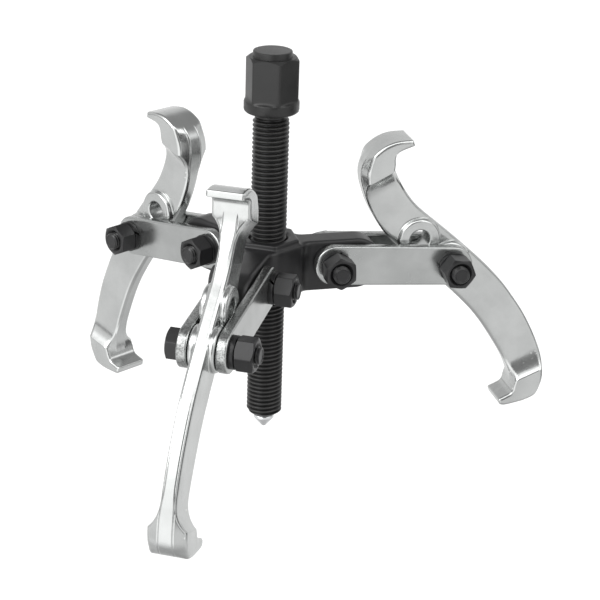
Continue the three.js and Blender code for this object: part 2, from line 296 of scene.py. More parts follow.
def surface(name, field, lo, hi, step, sharp=None):
    """Closed mesh of field = 0 by surface nets, with its vertices moved onto the field."""
    lo = np.array(lo, float)
    step = np.broadcast_to(np.asarray(step, float), (3,))
    n = [int(math.ceil((hi[i] - lo[i]) / step[i])) + 1 for i in range(3)]
    xs, ys, zs = [lo[i] + step[i] * np.arange(n[i]) for i in range(3)]
    G = np.empty(n, np.float32)
    block = max(1, 400000 // (n[1] * n[2]))
    for i in range(0, n[0], block):
        X, Y, Z = np.meshgrid(xs[i : i + block], ys, zs, indexing="ij")
        G[i : i + block] = field(np.stack([X.ravel(), Y.ravel(), Z.ravel()], 1)).reshape(X.shape)
    cells = (n[0] - 1, n[1] - 1, n[2] - 1)
    ids, pos, quads = [], [], []
    for ax in range(3):
        a, b = [slice(None)] * 3, [slice(None)] * 3
        a[ax], b[ax] = slice(0, -1), slice(1, None)
        g0, g1 = G[tuple(a)], G[tuple(b)]
        cr = np.argwhere((g0 < 0) != (g1 < 0))
        v0, v1 = g0[tuple(cr.T)], g1[tuple(cr.T)]
        P = cr.astype(float)
        P[:, ax] += v0 / (v0 - v1)
        u, w = [(1, 2), (2, 0), (0, 1)][ax]
        four = []
        for du, dw in ((-1, -1), (0, -1), (0, 0), (-1, 0)):
            c = cr.copy()
            c[:, u] += du
            c[:, w] += dw
            lin = (c[:, 0] * cells[1] + c[:, 1]) * cells[2] + c[:, 2]
            four.append(lin)
            ids.append(lin)
            pos.append(P)
        q = np.stack(four, 1)
        q[v0 >= 0] = q[v0 >= 0][:, ::-1]
        quads.append(q)
    ids, pos = np.concatenate(ids), np.concatenate(pos)
    uniq, inv = np.unique(ids, return_inverse=True)
    inv = inv.ravel()
    cnt = np.bincount(inv)
    V = np.stack([np.bincount(inv, pos[:, k]) / cnt for k in range(3)], 1) * step + lo
    F = np.searchsorted(uniq, np.concatenate(quads))
    h = 0.12
    for _ in range(3):
        g = field(V)
        grad = np.stack([field(V + h * e) - field(V - h * e) for e in np.eye(3)], 1) / (2 * h)
        gg = np.maximum((grad**2).sum(1), 0.05)
        move = np.clip(-g / gg, -0.5 * step.min(), 0.5 * step.min())
        V = V + grad * move[:, None]
    return mesh_object(name, V, F, sharp)


# ------------------------------------------------------------------ jaw
def jaw_mesh():
    ds = 0.35
    inner = soft_profile(JAW_INNER, ds, 0.8, 9.0)
    outer = soft_profile(JAW_OUTER, ds, 0.7, 17.0)
    poly = np.vstack([inner, outer])
    prof = Table((-47, -78), (56, 64), 0.4, lambda X, Y: sdf_polygon(poly, X, Y))

    # half width of the jaw along the direction square to a hook's ledge: a narrow shank, a hollow flare, the hook
    s = np.linspace(0, 1, 22)
    flare = np.stack([-14 + 14 * s, 3.4 + 5.0 * s**3], 1)
    half = np.vstack([[[-120, -30], [-120, 3.4]], flare, [[60, 8.4], [60, -30]]])
    width = Table((-24, 0), (24, 12), 0.1, lambda X, Y: sdf_polygon(half, X, Y))
    # the same, rounded off towards the back of the hook
    b = np.linspace(0, 1, 14)
    bow = np.stack([5.5 + 7.5 * np.sin(b * math.pi / 2), 8.4 - 4.2 * (1 - np.cos(b * math.pi / 2))], 1)
    half_b = np.vstack([[[-120, -30], [-120, 3.4]], flare, bow, [[13.0, 2.0], [13.0, -30]]])
    width_b = Table((-24, 0), (24, 12), 0.1, lambda X, Y: sdf_polygon(half_b, X, Y))

    cu, su = math.cos(rad(27.2)), math.sin(rad(27.2))
    cl, sl = math.cos(rad(202.2)), math.sin(rad(202.2))

    def field(P):
        x, y, z = P[:, 0], P[:, 1], P[:, 2]
        az = np.abs(z)
        d = prof(x, y)
        # along (towards the throat) and square to each ledge (towards the hook)
        au, nu = (x + 34.8) * cu + (y - 42.6) * su, -(x + 34.8) * su + (y - 42.6) * cu
        al, nl = (x - 42.9) * cl + (y + 58.6) * sl, -(x - 42.9) * sl + (y + 58.6) * cl
        slab = az - JAW_HALF
        back = np.where(nu > nl, sm(2, -4, au), sm(2, -4, al))
        wu = np.where(nu < -16, slab, width(np.clip(nu, -18, 22), az) * (1 - back) + width_b(np.clip(nu, -18, 22), az) * back)
        wl = np.where(nl < -16, slab, width(np.clip(nl, -18, 22), az) * (1 - back) + width_b(np.clip(nl, -18, 22), az) * back)
        w = np.minimum(wu, wl)
        n = np.maximum(nu, nl)
        hook = sm(-2, 4, n)
        # drafted narrow faces: a trimmed flat band along the middle, a fine line, then a slope to each flank
        grow = sm(-17, -5, n)
        band = 2.0 + 0.85 * grow
        over = np.maximum(az - band, 0)
        line = np.exp(-(((az - band - 0.22) / 0.27) ** 2))
        d = d + back * (0.29 + 0.07 * grow) * over * sm(13.5, 8, n) + back * (0.17 + 0.10 * grow) * line * sm(13, 9, n)
        throat = (1 - back) * sm(3, -1.5, n)
        d = d + throat * (0.22 * over + 0.30 * sm(0.0, 0.5, az - band) + 0.10 * line)
        # rolled edges: a shallow bevel on the shank, a small radius on the hooks
        e = 1.0 * (1 - hook) + 0.9 * hook
        f = 0.6 * (1 - hook) + 0.75 * hook
        bevel = (d / e + w / f + 1) / np.sqrt(1 / e**2 + 1 / f**2)
        body = smax(smax(d, w, 0.6), bevel, 0.45)
        # ring bosses
        for cx, cy, groove in ((0.0, 0.0, 0.0), (SPARE_HOLE[0], SPARE_HOLE[1], 0.10)):
            rr = np.hypot(x - cx, y - cy)
            h = az - BOSS_HALF + groove * np.exp(-(((rr - 7.9) / 0.32) ** 2))
            ring = smax(smax(rr - RING_R, h, 0.5), (rr - RING_R + h + 0.8) * 0.7071, 0.4)
            body = smin(body, ring, 0.7)
        for cx, cy, r0 in ((0.0, 0.0, PIVOT_HOLE_R), (SPARE_HOLE[0], SPARE_HOLE[1], PIVOT_HOLE_R + 0.35)):
            rr = np.hypot(x - cx, y - cy)
            cut = (r0 - rr) + np.maximum(az - (BOSS_HALF - 0.5), 0)
            body = smax(body, cut, 0.3)
        return body

    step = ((0.4, 0.4, 0.2))
    return surface("jaw", field, (-45.6, -75.8, -9.4), (53.4, 61.4, 9.4), step)


# ------------------------------------------------------------------ yoke
def yoke_mesh():
    mid, half = (ARM_TOP + ARM_BOTTOM) / 2, (ARM_TOP - ARM_BOTTOM) / 2
    dirs = [(math.cos(rad(a["az"])), math.sin(rad(a["az"]))) for a in ARMS]

    def field(P):
        x, y, z = P[:, 0], P[:, 1], P[:, 2] - HUB_Z
        rr = np.hypot(x, y)
        plan = np.full(len(x), 1e9)
        arms = np.full(len(x), 1e9)
        holes = np.full(len(x), -1e9)
        for ca, sa in dirs:
            r, t = x * ca + y * sa, -x * sa + y * ca
            at = np.abs(t)
            side = smax(at - BOSS_HALF, -r, 0.5)
            plan = smin(plan, side, 4.0) if plan[0] < 1e8 else side
            # side view: level top and bottom, round outer end
            rx = r - (ARM_END - half)
            rz = z - mid
            end = np.where(rx > 0, np.hypot(np.maximum(rx, 0), rz), np.abs(rz)) - half
            arm = smax(smax(at - BOSS_HALF, end, 1.8), -r, 0.5)
            arms = np.minimum(arms, arm)
            holes = np.maximum(holes, PIVOT_HOLE_R - np.hypot(r - HUB_BOLT_R, z) + 0 * r - 1e3 * (r < 0))
        # six-sided hub, its flats facing the arms and the gaps between them
        core = np.full(len(x), -1e9)
        for k in range(6):
            a = rad(30 + 60 * k)
            core = np.maximum(core, x * math.cos(a) + y * math.sin(a) - HUB_R * 0.885)
        plan = smin(plan, smax(core, rr - HUB_R, 1.0), 5.0)
        level = np.abs(z - mid) - half
        hub = smax(smax(plan, level, 1.8), rr - 30.0, 0.5)
        body = smin(hub, arms, 0.05)
        hexa = np.full(len(x), -1e9)
        for k in range(6):
            a = rad(30 + 60 * k)
            hexa = smax(hexa, x * math.cos(a) + y * math.sin(a) - BOSS_HEX_R * math.cos(rad(30)), 1.0) if k else (
                x * math.cos(a) + y * math.sin(a) - BOSS_HEX_R * math.cos(rad(30))
            )
        boss = smax(smax(hexa, z - BOSS_TOP, 1.0), -z, 0.5)
        body = smin(body, boss, 1.3)
        bore = BORE_R - rr + np.maximum(z - (BOSS_TOP - 1.1), 0) + np.maximum(-z + ARM_BOTTOM + 1.1, 0)
        body = smax(body, bore, 0.35)
        return smax(body, holes, 0.3)

    return surface(
        "yoke",
        field,
        (-47.5, -52.5, HUB_Z + ARM_BOTTOM - 1.2),
        (47.5, 32.5, HUB_Z + BOSS_TOP + 1.2),
        0.45,
    )


# ------------------------------------------------------------------ strap
def strap_mesh():
    R = STRAP_W / 2

    def stadium(off, z, n=20):
        r = R - off
        pts = []
        for i in range(n + 1):
            a = rad(-90 + 180 * i / n)
            pts.append((STRAP_PITCH + r * math.cos(a), r * math.sin(a), z))
        for k in range(1, 12):
            pts.append((STRAP_PITCH * (1 - k / 12), r, z))
        for i in range(n + 1):
            a = rad(90 + 180 * i / n)
            pts.append((r * math.cos(a), r * math.sin(a), z))
        for k in range(1, 12):
            pts.append((STRAP_PITCH * k / 12, -r, z))
        return pts

    T = STRAP_T
    edge = [(1.5, 0), (0.85, 0), (0.5, 0.07), (0.2, 0.26), (0.05, 0.55), (0, 0.9)]
    loops = [stadium(o, z) for o, z in edge] + [stadium(o, T - z) for o, z in reversed(edge)]
    bm = bmesh.new()

    def rows_of(loops):
        rows = [[bm.verts.new(Vector(p) * MM) for p in loop] for loop in loops]
        for a, b in zip(rows, rows[1:]):
            for i in range(len(a)):
                j = (i + 1) % len(a)
                bm.faces.new((a[i], a[j], b[j], b[i]))
        return rows

    outer = rows_of(loops)
    rims = [(outer[0], 0), (outer[-1], 1)]
    for cx in (0, STRAP_PITCH):
        prof = [(1.3, 0), (0.5, 0), (0.16, 0.16), (0, 0.5)]
        ring = [(PIVOT_HOLE_R + o, z) for o, z in prof] + [(PIVOT_HOLE_R + o, T - z) for o, z in reversed(prof)]
        made = rows_of(
            [
                [(cx + r * math.cos(2 * math.pi * i / 48), r * math.sin(2 * math.pi * i / 48), z) for i in range(48)]
                for r, z in ring
            ]
        )
        rims += [(made[0], 0), (made[-1], 1)]
    for level in (0, 1):
        edges = []
        for row, lv in rims:
            if lv == level:
                edges += [bm.edges.get((row[i], row[(i + 1) % len(row)])) for i in range(len(row))]
        bmesh.ops.triangle_fill(bm, use_beauty=True, edges=edges)
    return tidy(bm, "strap", 40)


# ------------------------------------------------------------------ fasteners, along +z
def hex_points(af, rounding=0.55, flat=6):
    """Angles and radii round a hexagon with a corner at angle 0 and slightly rounded corners."""
    a = af / 2
    c = a / math.cos(rad(30))
    pts = []
    for k in range(6):
        corner = rad(60 * k)
        inner = c - rounding / math.cos(rad(30))
        ox, oy = inner * math.cos(corner), inner * math.sin(corner)
        for i in range(6):
            t = corner + rad(-30 + 12 * i)
            pts.append((ox + rounding * math.cos(t), oy + rounding * math.sin(t)))
        nxt = rad(60 * (k + 1))
        p0 = pts[-1]
        p1 = (inner * math.cos(nxt) + rounding * math.cos(nxt - rad(30)), inner * math.sin(nxt) + rounding * math.sin(nxt - rad(30)))
        for i in range(1, flat):
            f = i / flat
            pts.append((p0[0] * (1 - f) + p1[0] * f, p0[1] * (1 - f) + p1[1] * f))
    return [(math.atan2(y, x), math.hypot(x, y)) for x, y in pts]


def hex_loop(hp, t, base, z_face, sign):
    """A loop between the washer circle (t=0) and the hexagon (t=1), on the 30 degree chamfer below z_face."""
    out = []
    for a, r in hp:
        q = base + (r - base) * t
        out.append((q * math.cos(a), q * math.sin(a), z_face - sign * max(0.0, q - base) * 0.577))
    return out


def circle(hp, r, z):
    return [(r * math.cos(a), r * math.sin(a), z) for a, _ in hp]


def nut_mesh():
    hp = hex_points(HEX_AF)
    base = 6.12
    lo, hi = NUT_LO, NUT_HI
    loops = [
        circle(hp, 4.05, lo + 0.8),
        circle(hp, 4.7, lo),
        circle(hp, base - 0.1, lo),
        circle(hp, base, lo),
        hex_loop(hp, 0.5, base, lo, -1),
        hex_loop(hp, 1.0, base, lo, -1),
        hex_loop(hp, 1.0, base, hi, 1),
        hex_loop(hp, 0.5, base, hi, 1),
        circle(hp, base, hi),
        circle(hp, base - 0.12, hi),
        circle(hp, 5.35, hi),
        circle(hp, 5.2, hi - 0.08),
        circle(hp, 4.05, hi - 1.3),
    ]
    return loops_mesh("nut", loops, closed=True, sharp=24)


def bolt_mesh():
    hp = hex_points(HEX_AF)
    base = 6.12
    top = -HEAD_TOP
    loops = [
        circle(hp, 2.0, top + 0.28),
        circle(hp, 4.3, top + 0.26),
        circle(hp, 4.6, top + 0.20),
        circle(hp, 5.0, top + 0.02),
        circle(hp, 5.15, top),
        circle(hp, base, top),
        hex_loop(hp, 0.5, base, top, -1),
        hex_loop(hp, 1.0, base, top, -1),
        [(r * math.cos(a), r * math.sin(a), -UNDER_HEAD - 0.35) for a, r in hp],
        [((r - 0.12) * math.cos(a), (r - 0.12) * math.sin(a), -UNDER_HEAD - 0.25) for a, r in hp],
        circle(hp, 6.1, -UNDER_HEAD - 0.25),
        circle(hp, 6.0, -UNDER_HEAD),
        circle(hp, BOLT_R, -UNDER_HEAD),
        circle(hp, BOLT_R, 12.0),
    ]
    pitch = 1.25
    z = 12.0
    while z < BOLT_END - 0.05:
        z += 0.125
        row = []
        for a, _ in hp:
            u = (z / pitch - a / (2 * math.pi)) % 1.0
            cut = min(1.0, max(0.0, 1.25 - abs(u - 0.5) * 3.1)) * 0.62 * min(1.0, (z - 12.0) / 1.0)
            limit = 3.3 + max(0.0, BOLT_END - z) * 1.1
            row.append((min(BOLT_R - cut, limit) * math.cos(a), min(BOLT_R - cut, limit) * math.sin(a), min(z, BOLT_END)))
        loops.append(row)
    loops.append(circle(hp, 2.95, BOLT_END))
    loops.append(circle(hp, 2.6, BOLT_END - 0.22))
    loops.append(circle(hp, 1.4, BOLT_END - 0.25))
    return loops_mesh("bolt", loops, sharp=30)


def washer_mesh():
    """Split spring washer: a square wire wound for one turn, with a slanted gap."""
    lo, hi, ri, ro = WASHER_LO, WASHER_HI, WASHER_IR, WASHER_OR
    c = 0.28
    sec = [(ri + c, lo), (ro - c, lo), (ro - c * 0.3, lo + c * 0.3), (ro, lo + c), (ro, hi - c), (ro - c * 0.3, hi - c * 0.3), (ro - c, hi), (ri + c, hi), (ri, hi - c), (ri, lo + c)]
    loops = []
    n = 84
    mid = (lo + hi) / 2
    for i in range(n + 1):
        f = i / n
        row = []
        for r, z in sec:
            a = rad(5.5) + rad(349) * f + rad(7.0) * (z - mid) / (hi - mid) * (1 if True else 0)
            lift = 0.0
            row.append((r * math.cos(a), r * math.sin(a), z + lift))
        loops.append(row)
    return loops_mesh("washer", loops, sharp=30)


# ------------------------------------------------------------------ forcing screw and its centre
def screw_angles():
    offs = [0, 1.3, 2.8, 6, 12, 18, 24, 30, 36, 42, 48, 54, 57.2, 58.7]
    return np.array([rad(DRIVE_TURN + 60 * k + o) for k in range(6) for o in offs])


def drive_radius(phi):
    """Radius of the drive hexagon, with its edges slightly rounded."""
    d = (np.degrees(phi) - DRIVE_TURN) % 60 - 30
    flat = DRIVE_AF / 2 / np.cos(np.radians(d))
    return smin(flat, np.full_like(flat, DRIVE_AF / math.sqrt(3) - 0.12), 0.35)


def screw_mesh():
    phi = screw_angles()
    n = len(phi)
    rise = PITCH * (phi - phi[0]) / (2 * math.pi)
    z0, z1 = Z_THREAD_END, Z_THREAD_TOP
    # one turn of a 60 degree thread, as (share of the pitch, depth)
    turn_u = [(0.0, 0.0), (0.10, 0.0), (0.16, 0.10), (0.34, 0.80), (0.43, 1.10), (0.53, 1.16), (0.63, 1.10), (0.72, 0.80), (0.92, 0.08)]
    rows, count = [], 0

    def envelope(z):
        lower = 5.2 + (z - z0) * 1.25
        upper = NECK_R + np.maximum(z1 - z, 0) * 0.9
        return np.minimum(np.minimum(lower, upper), SCREW_R)

    turns = int((z1 - z0) / PITCH) + 2
    for k in range(-1, turns):
        for u, depth in turn_u:
            z = z0 + (k + u) * PITCH + rise
            zc = np.clip(z, z0, z1)
            r = np.minimum(SCREW_R - depth, envelope(zc))
            out = (z <= z0) | (z >= z1)
            r = np.where(out, envelope(zc), r)
            rows.append(np.stack([r * np.cos(phi), r * np.sin(phi), zc], 1))
    thread_rows = len(rows)
    V = [np.vstack(rows)]
    F = []
    per = len(turn_u)
    i = np.arange(n)
    j = (i + 1) % n
    for a in range(thread_rows - 1):
        # the last column joins the first column one pitch further on
        base_a, base_b = a * n, (a + 1) * n
        ia, ib = base_a + i[:-1], base_b + i[:-1]
        F.append(np.stack([ia, ia + 1, ib + 1, ib], 1))
        a2, b2 = a + per, a + 1 + per
        if b2 < thread_rows:
            F.append(np.array([[base_a + n - 1, a2 * n, b2 * n, base_b + n - 1]]))
    V = np.vstack(V)
    F = np.vstack(F)
    bm = bmesh.new()
    vs = [bm.verts.new(p) for p in (V * MM)]
    bm.verts.index_update()
    for q in F:
        bm.faces.new([vs[k] for k in q])
    # top: neck, collar, hexagon and boss, as plain rows
    hexr = drive_radius(phi)

    def ring(r, z):
        rr = r if isinstance(r, np.ndarray) else np.full(n, float(r))
        zz = z if isinstance(z, np.ndarray) else np.full(n, float(z))
        return np.stack([rr * np.cos(phi), rr * np.sin(phi), zz], 1)

    top = [ring(NECK_R, z1), ring(NECK_R, Z_COLLAR - 1.7), ring(NECK_R + 0.25, Z_COLLAR - 1.35), ring(NECK_R + 0.9, Z_COLLAR - 1.15)]
    top += [ring(COLLAR_R - 1.5, Z_COLLAR - 0.85), ring(COLLAR_R - 0.75, Z_COLLAR - 0.55), ring(COLLAR_R - 0.2, Z_COLLAR - 0.05), ring(COLLAR_R, Z_COLLAR + 0.7)]
    top += [ring(COLLAR_R, Z_HEX - 1.9), ring(COLLAR_R - 0.07, Z_HEX - 1.45), ring(COLLAR_R - 0.25, Z_HEX - 1.1)]
    ledge = COLLAR_R - 0.25 - hexr
    for f in (0.35, 0.65, 0.88):
        top.append(ring(COLLAR_R - 0.25 - ledge * f, Z_HEX - 1.1 + 1.15 * f**1.6))
    top += [ring(hexr, Z_HEX + 0.5), ring(hexr, Z_HEX + 1.1)]
    span = Z_CAP - Z_HEX
    for f in (0.2, 0.4, 0.6, 0.75):
        top.append(ring(hexr, Z_HEX + span * f))
    # chamfer: a cone cuts the corners
    base = 10.12
    z_cut = Z_CAP - np.maximum(hexr - base, 0) * 0.8
    top += [ring(hexr, z_cut - 0.3), ring(hexr, z_cut), ring((hexr + base) / 2, (z_cut + Z_CAP) / 2), ring(base, Z_CAP), ring(base - 0.2, Z_CAP + 0.0)]
    top += [ring(CAP_R + 0.35, Z_CAP + 0.02), ring(CAP_R + 0.08, Z_CAP + 0.12), ring(CAP_R, Z_CAP + 0.4), ring(CAP_R, Z_TOP - 0.55), ring(CAP_R - 0.16, Z_TOP - 0.17), ring(CAP_R - 0.55, Z_TOP), ring(CAP_R - 1.1, Z_TOP)]
    top += [ring(CAP_R * 0.5, Z_TOP)]

    def add_rows(stack, cap=None):
        made = [[bm.verts.new(p) for p in (row * MM)] for row in stack]
        for a, b in zip(made, made[1:]):
            for k in range(n):
                m = (k + 1) % n
                bm.faces.new((a[k], a[m], b[m], b[k]))
        if cap is not None:
            c = bm.verts.new(Vector(cap) * MM)
            for k in range(n):
                bm.faces.new((made[-1][k], made[-1][(k + 1) % n], c))

    add_rows(top, (0, 0, Z_TOP))
    r0 = 5.2
    bottom = [ring(r0, z0), ring(r0 - 0.3, z0), ring(POINT_STEM_R + 0.35, z0), ring(POINT_STEM_R + 0.3, z0 + 0.1), ring(POINT_STEM_R + 0.3, POINT_STEM_TOP + 0.6)]
    add_rows(bottom, (0, 0, POINT_STEM_TOP + 2.2))
    bmesh.ops.remove_doubles(bm, verts=bm.verts, dist=3e-6)
    bmesh.ops.dissolve_degenerate(bm, edges=bm.edges, dist=1e-6)
    me = bpy.data.meshes.new("forcing_screw")
    bmesh.ops.recalc_face_normals(bm, faces=bm.faces)
    bm.to_mesh(me)
    bm.free()
    me.shade_smooth()
    me.set_sharp_from_angle(angle=rad(33))
    return me


def lathe_mesh(name, profile, n=72, sharp=30):
    """A turned piece: (radius, z) rows from the axis to the axis."""
    ang = [2 * math.pi * i / n for i in range(n)]
    loops = [[(r * math.cos(a), r * math.sin(a), z) for a in ang] for r, z in profile]
    return loops_mesh(name, loops, sharp=sharp)


def point_mesh():
    prof = [(0.35, 0.0), (0.75, 0.02), (0.95, 0.14), (1.1, 0.32)]
    for f in np.linspace(0.06, 0.94, 8):
        prof.append((1.1 + (POINT_R - 1.1) * f, 0.32 + (4.55 - 0.32) * f))
    prof += [(POINT_R - 0.12, 4.45), (POINT_R, 4.7), (POINT_R, 5.75), (POINT_R - 0.12, 5.95), (POINT_R - 0.45, 6.02)]
    prof += [(POINT_R - 0.45, 6.22), (POINT_R - 0.3, 6.32), (POINT_STEM_R, 6.34), (POINT_STEM_R, 11.0), (POINT_STEM_R, POINT_STEM_TOP - 0.5), (POINT_STEM_R - 0.5, POINT_STEM_TOP), (0.8, POINT_STEM_TOP)]
    return lathe_mesh("centre_point", prof)


# ------------------------------------------------------------------ materials
class Nodes:
    def __init__(self, name):
        self.m = bpy.data.materials.new(name)
        self.m.use_nodes = True
        self.t = self.m.node_tree
        self.bsdf = self.t.nodes["Principled BSDF"]
        self.x = 0

    def add(self, kind, **props):
        n = self.t.nodes.new(kind)
        self.x -= 40
        n.location = (self.x, self.x)
        for k, v in props.items():
            setattr(n, k, v)
        return n

    def link(self, a, b):
        self.t.links.new(a, b)

    def coords(self):
        return self.add("ShaderNodeTexCoord").outputs["Object"]

    def noise(self, vec, scale, detail=3.0, rough=0.55, distort=0.0):
        n = self.add("ShaderNodeTexNoise")
        n.inputs["Scale"].default_value = scale
        n.inputs["Detail"].default_value = detail
        n.inputs["Roughness"].default_value = rough
        n.inputs["Distortion"].default_value = distort
        self.link(vec, n.inputs["Vector"])
        return n.outputs["Fac"]

    def ramp(self, fac, stops):
        n = self.add("ShaderNodeValToRGB")
        e = n.color_ramp.elements
        while len(e) < len(stops):
            e.new(0.5)
        for el, (p, c) in zip(e, stops):
            el.position = p
            el.color = (c, c, c, 1) if not isinstance(c, tuple) else (*c, 1)
        self.link(fac, n.inputs["Fac"])
        return n.outputs["Color"]

    def math(self, op, a, b=None, clamp=False):
        n = self.add("ShaderNodeMath", operation=op)
        n.use_clamp = clamp
        for sock, v in zip(n.inputs, (a, b)):
            if v is None:
                continue
            if isinstance(v, (int, float)):
                sock.default_value = v
            else:
                self.link(v, sock)
        return n.outputs[0]

    def mix(self, fac, a, b):
        n = self.add("ShaderNodeMix", data_type="RGBA")
        for sock, v in ((n.inputs["Factor"], fac), (n.inputs[6], a), (n.inputs[7], b)):
            if isinstance(v, (int, float)):
                sock.default_value = v
            elif isinstance(v, tuple):
                sock.default_value = (*v, 1)
            else:
                self.link(v, sock)
        return n.outputs[2]

    def bump(self, height, strength, distance, normal=None):
        n = self.add("ShaderNodeBump")
        n.inputs["Strength"].default_value = strength
        n.inputs["Distance"].default_value = distance
        self.link(height, n.inputs["Height"])
        if normal is not None:
            self.link(normal, n.inputs["Normal"])
        return n.outputs["Normal"]

    def edge(self, lo, hi):
        g = self.add("ShaderNodeNewGeometry")
        return self.ramp(g.outputs["Pointiness"], [(lo, 0.0), (hi, 1.0)])

    def set(self, name, v):
        s = self.bsdf.inputs[name]
        if isinstance(v, (int, float)):
            s.default_value = v
        elif isinstance(v, tuple):
            s.default_value = (*v, 1)
        else:
            self.link(v, s)


def plated(name, base, dark, wave, rough, rim=False):
    """Plated forged or rolled steel: bright, slightly uneven, with a fine grain."""
    k = Nodes(name)
    c = k.coords()
    broad = k.noise(c, 60, 3)
    fine = k.noise(c, 900, 4, 0.6)
    grain = k.noise(c, 4200, 2, 0.6)
    col = k.mix(k.ramp(broad, [(0.35, 0.0), (0.68, 1.0)]), base, dark)
    spots = k.ramp(k.noise(c, 420, 5, 0.7), [(0.62, 0.0), (0.78, 1.0)])
    col = k.mix(k.math("MULTIPLY", spots, 0.14), col, tuple(0.72 * v for v in dark))
    # painted highlight along the convex edges, painted shade in the hollows
    # painted highlight: convex edges (high pointiness) mixed towards pale steel
    col = k.mix(k.math("MULTIPLY", k.edge(0.53, 0.62), 0.75), col, (0.82, 0.83, 0.82))
    # painted shade: hollows and creases (low pointiness) darkened
    g = k.add("ShaderNodeNewGeometry")
    col = k.mix(k.math("MULTIPLY", k.ramp(g.outputs["Pointiness"], [(0.40, 1.0), (0.48, 0.0)]), 0.6), col, tuple(0.35 * v for v in dark))
    k.set("Base Color", col)
    k.set("Metallic", 0.95)
    r = k.math("MULTIPLY_ADD", k.math("ADD", broad, fine), 0.12)
    r.node.inputs[2].default_value = rough - 0.12
    k.set("Roughness", r)
    b = k.bump(broad, 0.5, wave)
    b = k.bump(k.noise(c, 260, 3), 0.35, wave * 0.22, b)
    b = k.bump(fine, 0.18, 0.000009, b)
    b = k.bump(grain, 0.15, 0.000004, b)
    if rim:
        # sheared edges are rougher than the rolled faces
        mask = k.add("ShaderNodeAttribute", attribute_name="rim").outputs["Fac"]
        torn = k.noise(c, 1100, 4, 0.65)
        b = k.bump(torn, 0.9, 0.00011, b)
        b.node.inputs["Strength"].default_value = 0.9
        k.link(k.math("MULTIPLY", mask, 0.9), b.node.inputs["Strength"])
        pits = k.ramp(torn, [(0.40, 1.0), (0.56, 0.0)])
        col = k.mix(k.math("MULTIPLY", k.math("MULTIPLY", pits, mask), 0.65), col, tuple(0.3 * v for v in dark))
        k.set("Base Color", col)
    k.set("Normal", b)
    return k.m


def blackened(name, base, rough, worn, wear_at=(0.56, 0.70), crest=None):
    """Black oxide on steel: dark, satin, a little lighter where it is handled. With crest, the thread crests take that
    colour as wear plus a painted highlight, and the thread below them is darkened as painted shade.
    """
    k = Nodes(name)
    c = k.coords()
    broad = k.noise(c, 90, 4)
    fine = k.noise(c, 1500, 4, 0.65)
    col = k.mix(k.ramp(broad, [(0.3, 0.0), (0.7, 1.0)]), base, tuple(v * 1.5 for v in base))
    wear = k.math("MULTIPLY", k.edge(*wear_at), k.ramp(k.noise(c, 300, 5, 0.7), [(0.35, 0.25), (0.7, 1.0)]))
    col = k.mix(wear, col, worn)
    # thread crests lighter: worn oxide plus a painted highlight
    if crest:
        sep = k.add("ShaderNodeSeparateXYZ")
        k.link(c, sep.inputs[0])
        rr = k.math("SQRT", k.math("ADD", k.math("MULTIPLY", sep.outputs[0], sep.outputs[0]), k.math("MULTIPLY", sep.outputs[1], sep.outputs[1])))
        top = k.ramp(k.math("MULTIPLY", rr, 100.0), [(0.735, 0.0), (0.79, 1.0)])
        below = k.ramp(k.math("MULTIPLY", sep.outputs[2], 5.0), [(0.735, 1.0), (0.745, 0.0)])
        mask = k.math("MULTIPLY", top, below)
        col = k.mix(k.math("MULTIPLY", mask, 0.75), col, crest)
        # painted shade: thread roots and flanks below the crests darkened
        painted_root_shade = k.math("MULTIPLY", k.math("SUBTRACT", 1.0, top), below)
        col = k.mix(k.math("MULTIPLY", painted_root_shade, 0.75), col, (0.006, 0.006, 0.006))
    k.set("Base Color", col)
    k.set("Metallic", 0.0)
    r = k.math("MULTIPLY_ADD", k.math("ADD", broad, fine), 0.16)
    r.node.inputs[2].default_value = rough - 0.15
    k.set("Roughness", r)
    k.set("Specular IOR Level", 0.42)
    b = k.bump(broad, 0.4, 0.00018)
    b = k.bump(fine, 0.35, 0.00004, b)
    b = k.bump(k.noise(c, 5200, 2), 0.25, 0.000015, b)
    k.set("Normal", b)
    return k.m


def bright():
    """Turned and polished steel, with fine turning lines round its axis."""
    k = Nodes("bright_steel")
    c = k.coords()
    sep = k.add("ShaderNodeSeparateXYZ")
    k.link(c, sep.inputs[0])
    comb = k.add("ShaderNodeCombineXYZ")
    k.link(sep.outputs[2], comb.inputs[2])
    lines = k.noise(comb.outputs[0], 9000, 3, 0.6)
    k.set("Base Color", k.mix(k.noise(c, 300, 3), (0.62, 0.63, 0.64), (0.80, 0.81, 0.82)))
    k.set("Metallic", 1.0)
    k.set("Roughness", k.ramp(lines, [(0.3, 0.16), (0.7, 0.32)]))
    k.set("Normal", k.bump(lines, 0.3, 0.00002))
    return k.m


M_JAW = plated("plated_jaw", (0.55, 0.56, 0.555), (0.48, 0.49, 0.485), 0.00036, 0.21)
M_STRAP = plated("plated_strap", (0.44, 0.45, 0.445), (0.385, 0.395, 0.39), 0.00012, 0.24, rim=True)
M_YOKE = blackened("black_yoke", (0.010, 0.010, 0.0105), 0.36, (0.05, 0.05, 0.052))
M_SCREW = blackened("black_screw", (0.011, 0.011, 0.011), 0.36, (0.05, 0.05, 0.05), crest=(0.030, 0.0295, 0.0285))
M_BOLT = blackened("black_fastener", (0.010, 0.010, 0.0105), 0.33, (0.07, 0.07, 0.075))
M_WASHER = blackened("spring_washer", (0.007, 0.007, 0.0075), 0.36, (0.06, 0.06, 0.06))
M_POINT = bright()

# ------------------------------------------------------------------ assembly
jaw = jaw_mesh()
jaw.materials.append(M_JAW)
yoke = yoke_mesh()
yoke.materials.append(M_YOKE)
strap = strap_mesh()
strap.materials.append(M_STRAP)
rim = strap.attributes.new("rim", "FLOAT", "POINT")
for v in strap.vertices:
    rim.data[v.index].value = 1.0 if 0.3 * MM < v.co.z < (STRAP_T - 0.3) * MM else 0.0
nut = nut_mesh()
nut.materials.append(M_BOLT)
bolt = bolt_mesh()
bolt.materials.append(M_BOLT)
washer = washer_mesh()
washer.materials.append(M_WASHER)
screw = screw_mesh()
screw.materials.append(M_SCREW)
point = point_mesh()
point.materials.append(M_POINT)

